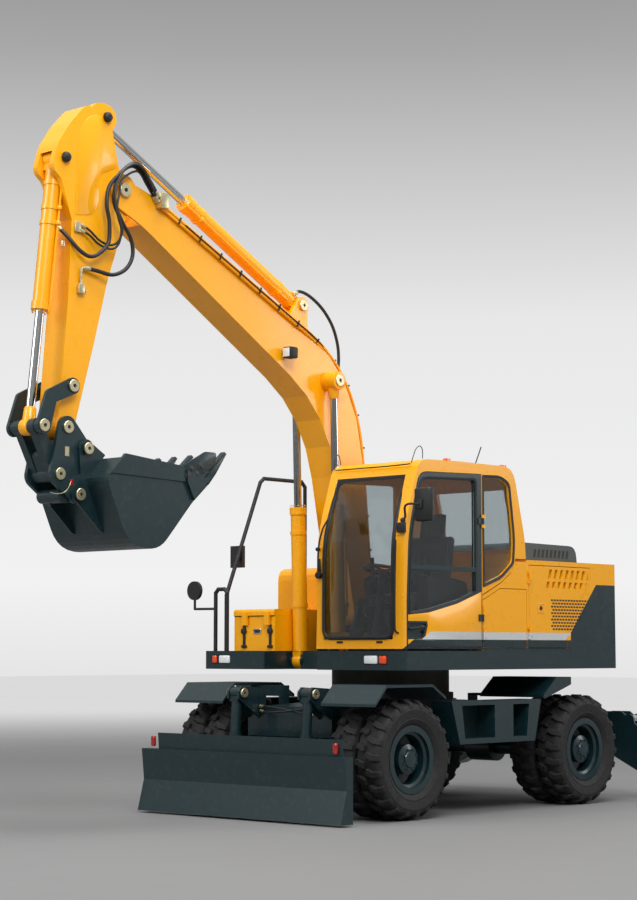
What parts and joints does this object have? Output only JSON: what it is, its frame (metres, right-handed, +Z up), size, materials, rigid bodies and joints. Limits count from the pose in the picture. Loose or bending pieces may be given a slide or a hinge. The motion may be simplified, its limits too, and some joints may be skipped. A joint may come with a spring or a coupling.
{
  "type": "wheeled excavator",
  "caption": "Wheeled excavator with twin tyres, one-piece boom, arm, digging bucket on a coupler, dozer blade, outriggers, and a closed cab on a turntable; its joints move.",
  "frame": {"origin": "on the ground below the middle of the machine's bounding box in the stored pose", "axes": "+X forward towards the boom, bucket and blade; +Y towards the cab's side; +Z up"},
  "size_m": [7.2311, 4.0796, 6.0757],
  "materials": {
    "dark_paint": "satin",
    "yellow_paint": "gloss",
    "grey_paint": "satin",
    "steel": "satin",
    "chrome": "polished",
    "tyre": "matt",
    "glass": "polished",
    "black_trim": "matt",
    "engine": "rough"
  },
  "bodies": {
    "chassis": {"chassis_frame": "dark_paint", "outrigger_frame": "dark_paint", "slew_ring": "steel", "rigid_axle": "dark_paint", "steer_axle": "dark_paint", "fenders": "dark_paint", "step_boxes": "dark_paint"},
    "knuckle_left": {"knuckle_left": "dark_paint"},
    "knuckle_right": {"knuckle_right": "dark_paint"},
    "tie_rod": {"tie_rod": "dark_paint"},
    "wheel_front_left": {"tyres_front_left": "tyre", "rims_front_left": "dark_paint"},
    "wheel_front_right": {"tyres_front_right": "tyre", "rims_front_right": "dark_paint"},
    "wheel_rear_left": {"tyres_rear_left": "tyre", "rims_rear_left": "dark_paint"},
    "wheel_rear_right": {"tyres_rear_right": "tyre", "rims_rear_right": "dark_paint"},
    "blade": {"dozer_blade": "dark_paint"},
    "blade_barrels": {"blade_barrels": "dark_paint"},
    "blade_rods": {"blade_rods": "chrome"},
    "leg_left": {"outrigger_leg_left": "dark_paint"},
    "leg_right": {"outrigger_leg_right": "dark_paint"},
    "leg_barrel_left": {"outrigger_barrel_left": "dark_paint"},
    "leg_barrel_right": {"outrigger_barrel_right": "dark_paint"},
    "leg_rod_left": {"outrigger_rod_left": "chrome"},
    "leg_rod_right": {"outrigger_rod_right": "chrome"},
    "upper": {"deck": "dark_paint", "counterweight": "dark_paint", "engine_block": "engine", "cowling": "yellow_paint", "cab_base": "yellow_paint", "cab_frame": "yellow_paint", "cab_glass": "glass", "cab_interior": "black_trim", "tank": "yellow_paint", "toolbox": "yellow_paint", "handrails": "black_trim"},
    "cab_door": {"cab_door": "dark_paint", "door_glass": "glass"},
    "side_door_front": {"side_door_front": "yellow_paint"},
    "side_door_rear": {"side_door_rear": "yellow_paint"},
    "right_door": {"right_door": "yellow_paint"},
    "engine_hood": {"engine_hood": "grey_paint"},
    "toolbox_lid": {"toolbox_lid": "yellow_paint"},
    "boom": {"boom": "yellow_paint"},
    "boom_barrels": {"boom_barrels": "yellow_paint"},
    "boom_rods": {"boom_rods": "chrome"},
    "arm_barrel": {"arm_barrel": "yellow_paint"},
    "arm_rod": {"arm_rod": "chrome"},
    "arm": {"arm": "yellow_paint"},
    "bucket_barrel": {"bucket_barrel": "yellow_paint"},
    "bucket_rod": {"bucket_rod": "chrome"},
    "idler_links": {"idler_links": "dark_paint"},
    "h_link": {"h_link": "dark_paint"},
    "bucket": {"coupler": "dark_paint", "bucket": "dark_paint"}
  },
  "joints": [
    {"name": "swing", "type": "hinge", "parent": "chassis", "child": "upper", "pos_m": [-0.82363, 0, 1.05], "axis": [0, 0, 1], "continuous": true},
    {"name": "roll_front_left", "type": "hinge", "parent": "chassis", "child": "wheel_front_left", "pos_m": [0.30637, 0.9, 0.526], "axis": [0, 1, 0], "continuous": true},
    {"name": "roll_front_right", "type": "hinge", "parent": "chassis", "child": "wheel_front_right", "pos_m": [0.30637, -0.9, 0.526], "axis": [0, 1, 0], "continuous": true},
    {"name": "steer_left", "type": "hinge", "parent": "chassis", "child": "knuckle_left", "pos_m": [-2.29363, 0.7, 0.526], "axis": [0, 0, 1], "range_deg": [-28, 28]},
    {"name": "steer_right", "type": "hinge", "parent": "chassis", "child": "knuckle_right", "pos_m": [-2.29363, -0.7, 0.526], "axis": [0, 0, 1], "range_deg": [-28.02, 28.02]},
    {"name": "tie_rod_slide", "type": "slide", "parent": "chassis", "child": "tie_rod", "axis": [0, 1, 0], "range_m": [-0.08469, 0.08469]},
    {"name": "roll_rear_left", "type": "hinge", "parent": "knuckle_left", "child": "wheel_rear_left", "pos_m": [-2.29363, 0.9, 0.526], "axis": [0, 1, 0], "continuous": true},
    {"name": "roll_rear_right", "type": "hinge", "parent": "knuckle_right", "child": "wheel_rear_right", "pos_m": [-2.29363, -0.9, 0.526], "axis": [0, 1, 0], "continuous": true},
    {"name": "blade_lift", "type": "hinge", "parent": "chassis", "child": "blade", "pos_m": [0.51637, 0, 0.45], "axis": [0, -1, 0], "range_deg": [-11, 28]},
    {"name": "blade_barrel_swing", "type": "hinge", "parent": "chassis", "child": "blade_barrels", "pos_m": [0.80637, 0, 1.09], "axis": [0, -1, 0], "range_deg": [-0.1135, 0.258]},
    {"name": "blade_rod_slide", "type": "slide", "parent": "blade_barrels", "child": "blade_rods", "axis": [0.0744, 0, -0.9972], "range_m": [-0.16489, 0.0649]},
    {"name": "leg_left", "type": "hinge", "parent": "chassis", "child": "leg_left", "pos_m": [-3.37363, 0.42, 0.6], "axis": [1, 0, 0], "range_deg": [-6, 62]},
    {"name": "leg_barrel_left", "type": "hinge", "parent": "chassis", "child": "leg_barrel_left", "pos_m": [-3.37363, 0.29, 0.85], "axis": [1, 0, 0], "range_deg": [-5.63, 58.03]},
    {"name": "leg_rod_left", "type": "slide", "parent": "leg_barrel_left", "child": "leg_rod_left", "axis": [0, 0.9958, -0.0917], "range_m": [-0.28966, 0.02821]},
    {"name": "leg_right", "type": "hinge", "parent": "chassis", "child": "leg_right", "pos_m": [-3.37363, -0.42, 0.6], "axis": [-1, 0, 0], "range_deg": [-6, 62]},
    {"name": "leg_barrel_right", "type": "hinge", "parent": "chassis", "child": "leg_barrel_right", "pos_m": [-3.37363, -0.29, 0.85], "axis": [-1, 0, 0], "range_deg": [-5.63, 58.03]},
    {"name": "leg_rod_right", "type": "slide", "parent": "leg_barrel_right", "child": "leg_rod_right", "axis": [0, -0.9958, -0.0917], "range_m": [-0.28966, 0.02821]},
    {"name": "boom_lift", "type": "hinge", "parent": "upper", "child": "boom", "pos_m": [-0.39363, -0.12, 1.842], "axis": [0, -1, 0], "range_deg": [-92, 8]},
    {"name": "boom_barrel_swing", "type": "hinge", "parent": "upper", "child": "boom_barrels", "pos_m": [0.04637, -0.12, 1.375], "axis": [0, -1, 0], "range_deg": [-88.28, 7.7]},
    {"name": "boom_rod_slide", "type": "slide", "parent": "boom_barrels", "child": "boom_rods", "axis": [0.0288, 0, 0.9996], "range_m": [-0.92749, 0.08083]},
    {"name": "arm_swing", "type": "hinge", "parent": "boom", "child": "arm", "pos_m": [2.67246, -0.12, 5.3592], "axis": [0, 1, 0], "range_deg": [-100, 6]},
    {"name": "arm_barrel_swing", "type": "hinge", "parent": "boom", "child": "arm_barrel", "pos_m": [0.39032, -0.12, 4.66486], "axis": [0, 1, 0], "range_deg": [-1.87, 0.13]},
    {"name": "arm_rod_slide", "type": "slide", "parent": "arm_barrel", "child": "arm_rod", "axis": [0.8854, 0, 0.4648], "range_m": [-0.97322, 0.05858]},
    {"name": "bucket_curl", "type": "hinge", "parent": "arm", "child": "bucket", "pos_m": [3.26762, -0.12, 3.28905], "axis": [0, 1, 0], "range_deg": [-130, 5]},
    {"name": "idler_swing", "type": "hinge", "parent": "arm", "child": "idler_links", "pos_m": [3.24462, -0.12, 3.62705], "axis": [0, 1, 0], "range_deg": [-109.04, 4.21]},
    {"name": "h_link_swing", "type": "hinge", "parent": "bucket", "child": "h_link", "pos_m": [3.34762, -0.12, 2.90105], "axis": [0, 1, 0], "range_deg": [-3.76, 97.35]},
    {"name": "bucket_barrel_swing", "type": "hinge", "parent": "arm", "child": "bucket_barrel", "pos_m": [3.30581, -0.12, 5.534], "axis": [0, 1, 0], "range_deg": [-0.384, 0.034]},
    {"name": "bucket_rod_slide", "type": "slide", "parent": "bucket_barrel", "child": "bucket_rod", "axis": [0.1058, 0, -0.9944], "range_m": [-0.74917, 0.02901]},
    {"name": "cab_door_hinge", "type": "hinge", "parent": "upper", "child": "cab_door", "pos_m": [-0.65863, 1.2554, 2.1], "axis": [0, 0, 1], "range_deg": [0, 100]},
    {"name": "side_door_front_hinge", "type": "hinge", "parent": "upper", "child": "side_door_front", "pos_m": [-0.67863, 1.2504, 1.7], "axis": [0, 0, 1], "range_deg": [-75, 0]},
    {"name": "side_door_rear_hinge", "type": "hinge", "parent": "upper", "child": "side_door_rear", "pos_m": [-1.37863, 1.2504, 1.9], "axis": [0, 0, 1], "range_deg": [-90, 0]},
    {"name": "right_door_hinge", "type": "hinge", "parent": "upper", "child": "right_door", "pos_m": [-1.37863, -1.2504, 1.9], "axis": [0, 0, -1], "range_deg": [-90, 0]},
    {"name": "hood_hinge", "type": "hinge", "parent": "upper", "child": "engine_hood", "pos_m": [-1.91363, 0, 2.332], "axis": [0, 1, 0], "range_deg": [0, 70]},
    {"name": "lid_hinge", "type": "hinge", "parent": "upper", "child": "toolbox_lid", "pos_m": [-0.52963, -0.7, 1.872], "axis": [0, -1, 0], "range_deg": [0, 75]}
  ],
  "couplings": [
    {"joint": "steer_right", "follows": "steer_left", "ratio": 1},
    {"joint": "tie_rod_slide", "follows": "steer_left", "m_per_rad": -0.1729},
    {"joint": "blade_barrel_swing", "follows": "blade_lift", "ratio": 0.0085},
    {"joint": "blade_rod_slide", "follows": "blade_lift", "m_per_rad": -0.337},
    {"joint": "leg_barrel_left", "follows": "leg_left", "ratio": 0.9356},
    {"joint": "leg_rod_left", "follows": "leg_left", "m_per_rad": -0.2675},
    {"joint": "leg_barrel_right", "follows": "leg_right", "ratio": 0.9356},
    {"joint": "leg_rod_right", "follows": "leg_right", "m_per_rad": -0.2675},
    {"joint": "boom_barrel_swing", "follows": "boom_lift", "ratio": 0.9594},
    {"joint": "boom_rod_slide", "follows": "boom_lift", "m_per_rad": 0.5775},
    {"joint": "arm_barrel_swing", "follows": "arm_swing", "ratio": 0.0185},
    {"joint": "arm_rod_slide", "follows": "arm_swing", "m_per_rad": 0.5575},
    {"joint": "idler_swing", "follows": "bucket_curl", "ratio": 0.8386},
    {"joint": "h_link_swing", "follows": "bucket_curl", "ratio": -0.7487},
    {"joint": "bucket_barrel_swing", "follows": "bucket_curl", "ratio": 0.0028},
    {"joint": "bucket_rod_slide", "follows": "bucket_curl", "m_per_rad": 0.3301}
  ]
}
